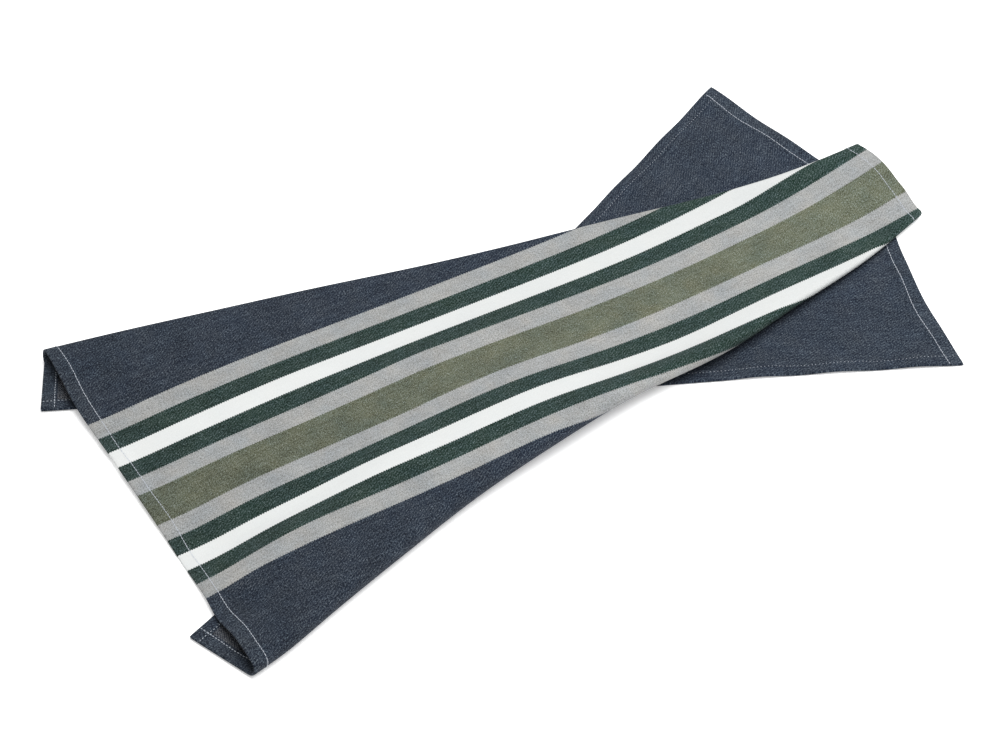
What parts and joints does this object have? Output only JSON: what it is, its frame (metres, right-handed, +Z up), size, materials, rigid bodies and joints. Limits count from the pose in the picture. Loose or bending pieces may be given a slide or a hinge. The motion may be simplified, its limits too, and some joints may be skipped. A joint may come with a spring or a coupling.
{
  "type": "tea towel",
  "caption": "Woven cotton tea towel with a band of stripes, laid flat with both long sides folded under and fanned out at one end.",
  "frame": {"origin": "centre of the bounding box, at the surface the towel lies on", "axes": "+X along the towel from the wide end to the fanned end, +Y towards the side whose fold is raised, +Z up"},
  "size_m": [0.7134, 0.3778, 0.0258],
  "materials": {
    "woven_cotton": "matt twill weave"
  },
  "bodies": {
    "root": {"towel": "woven_cotton"}
  },
  "joints": []
}
